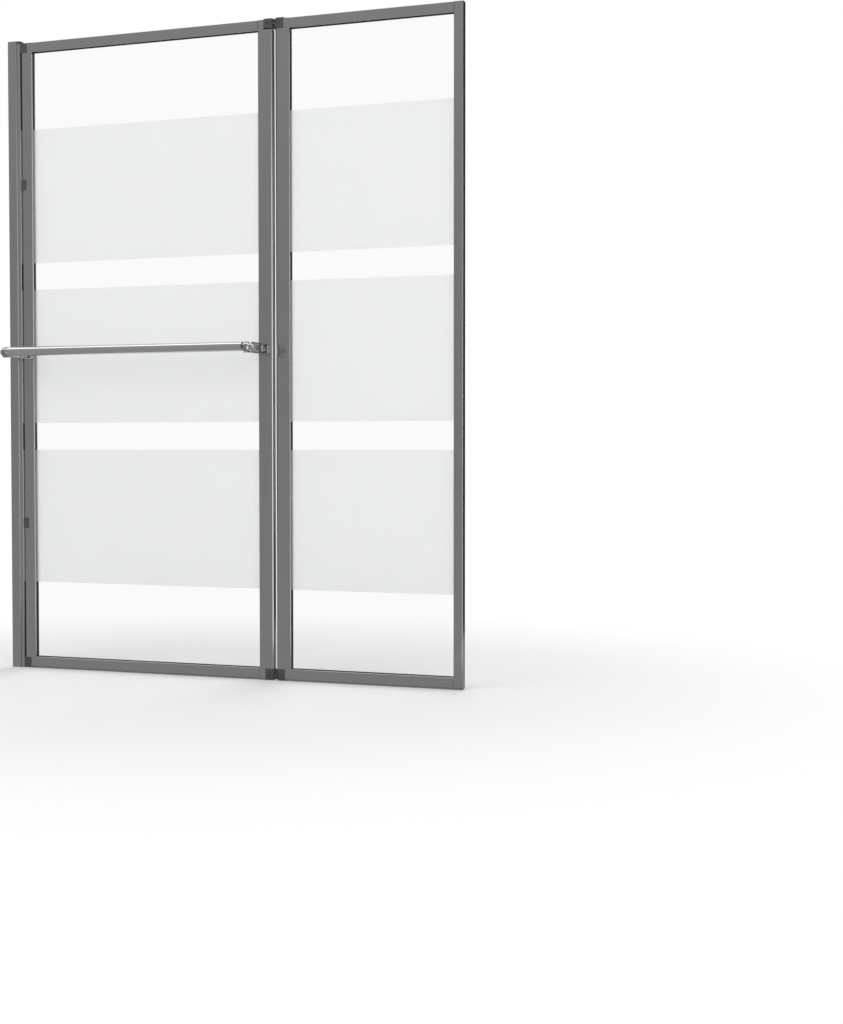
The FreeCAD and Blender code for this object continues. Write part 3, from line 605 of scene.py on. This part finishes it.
def cap_outline(fold_x, toward, inset=0.0):
    """A hinge cap in plan: a block from behind the pin to the stile's rounded nose."""
    half = cap_half_depth - inset
    nose = cap_nose_round - inset
    outline = []
    for x, y, radius, start in (
            (half, -half, nose, -90.0),
            (half, half, nose, 0.0),
            (inset - cap_back, half, cap_back_round, 90.0),
            (inset - cap_back, -half, cap_back_round, 180.0)):
        centre_x = x - math.copysign(radius, x)
        centre_y = y - math.copysign(radius, y)
        for place in range(arc_steps + 1):
            turn = math.radians(start + 90.0 * place / arc_steps)
            outline.append((
                fold_x + toward * (centre_x + radius * math.cos(turn)),
                centre_y + radius * math.sin(turn)))
    return outline if toward > 0 else outline[::-1]


def combined(solid, others, operation):
    """The first solid with others joined to it or cut out of it."""
    for other in others:
        modifier = solid.modifiers.new(other.name, "BOOLEAN")
        modifier.operation = operation
        modifier.object = other
    made = plain_mesh(solid)
    solid.modifiers.clear()
    solid.data = made
    for other in others:
        bpy.data.objects.remove(other)
    return solid


def moulded_piece(solid, body, node):
    """Soft edges, dark plastic, and the node whose place the piece takes."""
    bevel = solid.modifiers.new("soft_edges", "BEVEL")
    bevel.width = cap_edge
    bevel.segments = cap_edge_steps
    bevel.angle_limit = cap_edge_angle
    made = plain_mesh(solid)
    solid.modifiers.clear()
    solid.data = made
    made.shade_smooth()
    made.set_sharp_from_angle(angle=cap_crease)
    made.materials.clear()
    made.materials.append(finishes["dark_plastic"])
    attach(solid, body)
    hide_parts(node)


def link_span(end, inwards):
    """The two levels between which a link lies, from the frame's end at the hinge."""
    from_end = top_link_from_end if inwards < 0 else bottom_link_from_end
    middle = end + inwards * from_end
    return middle - link_thickness / 2, middle + link_thickness / 2


def cap_blank(name, fold_x, toward, end, inner_end, inwards, gap):
    """The cap's block, its neck over the shadow gap, and its plug in the stile."""
    seat = end + inwards * cap_height
    shoulder = seat - inwards * gap
    block = prism(name, cap_outline(fold_x, toward), end, shoulder)
    neck_outline = cap_outline(fold_x, toward, cap_neck_inset)
    neck = prism("cap_neck", neck_outline, shoulder - inwards * cap_edge, seat)
    plug_ends = (fold_x - toward * plug_far, fold_x - toward * plug_near)
    plug_outline = rectangle(plug_ends, plug_half_depth)
    plug = prism("cap_plug", plug_outline, seat - inwards * gap / 2, inner_end)
    return combined(block, [neck, plug], "UNION")


def cap_cuts(fold_x, toward, end, inner_end, inwards):
    """What a cap gives up: a round slot for the link's eye, its mouth, and the pin's bore."""
    low, high = link_span(end, inwards)
    span = (low - link_play, high + link_play)
    slot = prism("link_slot", circle(link_eye_radius + link_play, fold_x), *span)
    mouth_ends = (
        fold_x - toward * (link_neck_width / 2 + link_play),
        fold_x + toward * 2 * cap_half_depth)
    mouth = prism("link_mouth", rectangle(mouth_ends, 2 * cap_half_depth), *span)
    bore = prism("pin_bore", circle(pin_bore, fold_x), end - inwards * cap_edge, inner_end)
    return [slot, mouth, bore]


def hinge_cap(node, body, toward, inwards, gap):
    """A cap with a plug into the stile and a slot for the link, over a dark shadow gap."""
    low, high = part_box(node)
    end, inner_end = (high[2], low[2]) if inwards < 0 else (low[2], high[2])
    fold_x = high[0] - cap_half_depth if toward > 0 else low[0] + cap_half_depth
    cap = cap_blank(node + "_moulding", fold_x, toward, end, inner_end, inwards, gap)
    combined(cap, cap_cuts(fold_x, toward, end, inner_end, inwards), "DIFFERENCE")
    moulded_piece(cap, body, node)
    return fold_x, end


def hinge_link(node, folds, end, inwards):
    """Two eyes and a neck, with a web that fills the gap between the caps."""
    span = link_span(end, inwards)
    link = prism(node + "_moulding", circle(link_eye_radius, folds[0]), *span)
    far_eye = prism("far_eye", circle(link_eye_radius, folds[1]), *span)
    neck = prism("link_neck", rectangle(folds, link_neck_width / 2), *span)
    reach = (cap_half_depth - cap_nose_round) * math.sqrt(2) + cap_nose_round + link_web_clearance
    web = prism(
        "link_web",
        rectangle((folds[0] + reach, folds[1] - reach), link_web_width / 2),
        end + inwards * link_play,
        end + inwards * (cap_height - link_play))
    combined(link, [far_eye, neck, web], "UNION")
    bores = [prism("pin_bore", circle(pin_bore, x), span[0] - link_play, span[1] + link_play)
             for x in folds]
    combined(link, bores, "DIFFERENCE")
    moulded_piece(link, "centre_links", node)


def centre_hinge():
    """Both ends of the centre hinge: a cap in each stile, and the link between them."""
    for level, inwards, inner_gap in (("top", -1, inner_top_gap), ("bottom", 1, other_gap)):
        folds = []
        for panel, toward, gap in (("inner", 1, inner_gap), ("outer", -1, other_gap)):
            fold_x, end = hinge_cap(
                panel + "_" + level + "_hinge_cap", panel + "_panel", toward, inwards, gap)
            folds.append(fold_x)
        hinge_link(level + "_link", folds, end, inwards)


# Studio: floor, what the polished metal sees, lamps and camera

def sector(tree, turn, middle, half_width, soft):
    """1 within a half width of a direction and 0 outside, by the turn in degrees."""
    offset = math_node(tree, "ABSOLUTE", math_node(tree, "SUBTRACT", turn, math.radians(middle)))
    inner = math.radians(half_width - soft)
    outer = math.radians(half_width + soft)
    return smooth_step(tree, offset, inner, outer, to_low=1.0, to_high=0.0)


def field(tree, turn, height, middle, half_width, low, high, soft):
    """A soft-edged field of directions: 1 inside its sector and its levels, and 0 outside."""
    across = sector(tree, turn, middle, half_width, soft)
    above = smooth_step(tree, height, low - field_edge, low + field_edge)
    below = smooth_step(
        tree, height, high - field_edge, high + field_edge, to_low=1.0, to_high=0.0)
    return math_node(tree, "MULTIPLY", across, math_node(tree, "MULTIPLY", above, below))


def white_light(tree, strength):
    return add_node(
        tree, "Emission", {"Color": (1.0, 1.0, 1.0, 1.0), "Strength": strength}).outputs[0]


def mirror_level(tree, place, low):
    """How bright the floor looks to polished metal: even, shaded in a quarter, lit in a sector."""
    axes = add_node(tree, "SeparateXYZ", {0: place}).outputs
    shade = 1.0
    for axis, start in zip("XY", shade_start):
        part_shade = smooth_step(tree, axes[axis], start - shade_soft, start + shade_soft)
        shade = math_node(tree, "MULTIPLY", part_shade, shade)
    level = smooth_step(tree, shade, 0.0, 1.0, floor_mirror, floor_mirror * floor_mirror_shade)
    hinge_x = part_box("top_link")[1][0]
    from_hinge = math_node(tree, "SUBTRACT", axes["X"], hinge_x)
    azimuth = math_node(tree, "ARCTAN2", axes["Y"], from_hinge)
    away = distance_from(tree, place, (hinge_x, 0.0, low))
    window = math_node(
        tree,
        "MULTIPLY",
        sector(tree, azimuth, *nose_window),
        smooth_step(tree, away, *nose_window_start))
    return math_node(tree, "MAXIMUM", level, math_node(tree, "MULTIPLY", window, window_level))


def pale_floor(low):
    """Keeps the shadow near the screen and fades to white, with its own level in metal."""
    material, tree, shader, place = new_material("pale_floor")
    colour_between(
        tree, shader, noise(tree, place, scale=3.0), (0.88, 0.88, 0.88), (0.9, 0.9, 0.9))
    shader.inputs["Roughness"].default_value = 0.8
    shader.inputs["Specular IOR Level"].default_value = 0.0
    under = [(start + end) / 2 for start, end in zip(*cad_box)]
    far = smooth_step(tree, distance_from(tree, place, (*under[:2], low)), *floor_fade)
    path = add_node(tree, "LightPath").outputs
    through = path["Is Transmission Ray"]
    seen = math_node(tree, "MAXIMUM", path["Is Camera Ray"], through)
    faded = surface_mix(
        tree, math_node(tree, "MULTIPLY", far, seen), shader.outputs[0], white_light(tree, 1.0))
    mirrored = math_node(tree, "SUBTRACT", path["Is Glossy Ray"], through)
    mirror = white_light(tree, mirror_level(tree, place, low))
    show(tree, surface_mix(tree, mirrored, faded, mirror))
    return material


def studio_floor():
    """A level sheet under the screen."""
    low = cad_box[0][2]
    mesh = bpy.data.meshes.new("studio_floor")
    corners = [(-1, -1), (1, -1), (1, 1), (-1, 1)]
    mesh.from_pydata([(x * floor_half, y * floor_half, low) for x, y in corners], [], [range(4)])
    floor = in_scene("studio_floor", mesh)
    mesh.materials.append(pale_floor(low))


def surroundings(tree):
    """How bright each direction looks to polished metal: windows, overhead fields and grey."""
    direction = add_node(tree, "TexCoord").outputs["Generated"]
    axes = add_node(tree, "SeparateXYZ", {0: direction}).outputs
    height = axes["Z"]
    azimuth = math_node(tree, "ARCTAN2", axes["Y"], axes["X"])
    over = math_node(tree, "ARCTAN2", height, math_node(tree, "MULTIPLY", axes["Y"], -1.0))
    level = 0.0
    for window in windows:
        level = math_node(tree, "ADD", level, field(tree, azimuth, height, *window))
    level = math_node(tree, "MULTIPLY", level, window_level)
    for overhead, brightness in overhead_fields:
        bright = math_node(tree, "MULTIPLY", field(tree, over, height, *overhead), brightness)
        level = math_node(tree, "MAXIMUM", level, bright)
    grey = math_node(
        tree,
        "ADD",
        smooth_step(tree, height, *grey_above),
        smooth_step(tree, height, *grey_below))
    for curtain, share in curtains:
        dark = field(tree, azimuth, height, *curtain)
        left = smooth_step(tree, dark, 0.0, 1.0, to_low=1.0, to_high=share)
        grey = math_node(tree, "MULTIPLY", grey, left)
    return math_node(tree, "MAXIMUM", level, grey)


def studio_world():
    """White to the eye and through glass; grey with bright windows to polished metal."""
    world = bpy.data.worlds.new("studio")
    bpy.context.scene.world = world
    world.use_nodes = True
    tree = world.node_tree
    tree.nodes.clear()
    level = surroundings(tree)
    glossy = add_node(tree, "CombineColor", {0: level, 1: level, 2: level}).outputs[0]
    path = add_node(tree, "LightPath").outputs
    seen = math_node(tree, "MAXIMUM", path["Is Camera Ray"], path["Is Transmission Ray"])
    light = colour_mix(tree, path["Is Glossy Ray"], [plain_light] * 3, glossy)
    colour = colour_mix(tree, seen, light, (1.0, 1.0, 1.0))
    background = add_node(tree, "Background", {"Color": colour, "Strength": 1.0})
    add_node(tree, "OutputWorld", {"Surface": background.outputs[0]})


def studio_lamps():
    """Rectangular softboxes aimed at the middle of the screen, and themselves unseen."""
    middle = Vector([(low + high) / 2 for low, high in zip(*cad_box)])
    for name, (place, width, height, power) in softboxes.items():
        light = bpy.data.lights.new(name, "AREA")
        light.shape = "RECTANGLE"
        light.size = width
        light.size_y = height
        light.energy = power
        lamp = in_scene(name, light)
        lamp.location = place
        lamp.rotation_euler = (middle - Vector(place)).to_track_quat("-Z", "Y").to_euler()
        lamp.visible_camera = False
        lamp.visible_glossy = False
        lamp.visible_transmission = False


def photo_camera():
    data = bpy.data.cameras.new("camera")
    data.lens = camera_lens
    data.shift_x, data.shift_y = camera_shift
    camera = in_scene("camera", data)
    camera.location = camera_place
    camera.rotation_euler = (math.radians(90.0) + camera_tilt, 0.0, camera_turn)
    bpy.context.scene.camera = camera


bpy.context.scene.view_settings.view_transform = "Standard"
finish_nodes()
all_screws()
centre_hinge()
studio_floor()
studio_world()
studio_lamps()
photo_camera()
